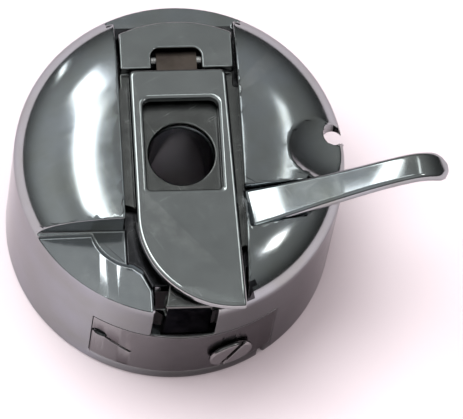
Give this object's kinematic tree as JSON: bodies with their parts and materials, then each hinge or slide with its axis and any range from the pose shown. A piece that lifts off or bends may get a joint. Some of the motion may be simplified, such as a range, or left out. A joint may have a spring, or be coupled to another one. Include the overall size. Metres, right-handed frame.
{
  "type": "bobbin case",
  "caption": "Round metal bobbin case for an oscillating-hook sewing machine, with a hinged latch lever, sliding plate, tension spring and position finger.",
  "frame": {"origin": "centre of the object's bounding box on the plane of the cup's open rim; the case axis stands at X = -3.475 mm, Y = 0.251 mm", "axes": "+Z along the case axis from the open rim to the latch face, +Y towards the hinge end of the latch, +X towards the tip of the position finger"},
  "size_m": [0.0299, 0.0235, 0.0165],
  "materials": {
    "plated_steel": "polished dark nickel plating",
    "latch_steel": "polished, fine grain",
    "bright_steel": "turned bright",
    "spring_steel": "tempered, oiled"
  },
  "bodies": {
    "case": {"case_body": "plated_steel", "centre_tube": "plated_steel", "position_finger": "plated_steel", "finger_rivet_front": "bright_steel", "finger_rivet_rear": "bright_steel", "slide_stop_pin": "bright_steel", "latch_spring": "spring_steel", "tension_spring": "spring_steel"},
    "slide": {"latch_slide": "latch_steel", "latch_hinge_pin": "bright_steel"},
    "lever": {"latch_lever": "latch_steel"},
    "tension_screw": {"tension_adjusting_screw": "bright_steel"}
  },
  "joints": [
    {"name": "slide_travel", "type": "slide", "parent": "case", "child": "slide", "axis": [0, 1, 0], "range_m": [0, 0.0009], "stiffness_N_per_m": 150, "springref_m": -0.001, "deforming": ["latch_spring"]},
    {"name": "lever_opening", "type": "hinge", "parent": "slide", "child": "lever", "pos_m": [-0.00347, 0.00715, 0.01375], "axis": [-1, 0, 0], "range_deg": [0, 75]},
    {"name": "screw_turn", "type": "hinge", "parent": "case", "child": "tension_screw", "pos_m": [-0.00008, -0.01051, 0.0041], "axis": [0.3007, -0.9537, 0], "range_deg": [-180, 180]}
  ],
  "couplings": [
    {"joint": "lever_opening", "follows": "slide_travel", "rad_per_m": 1454.4}
  ]
}
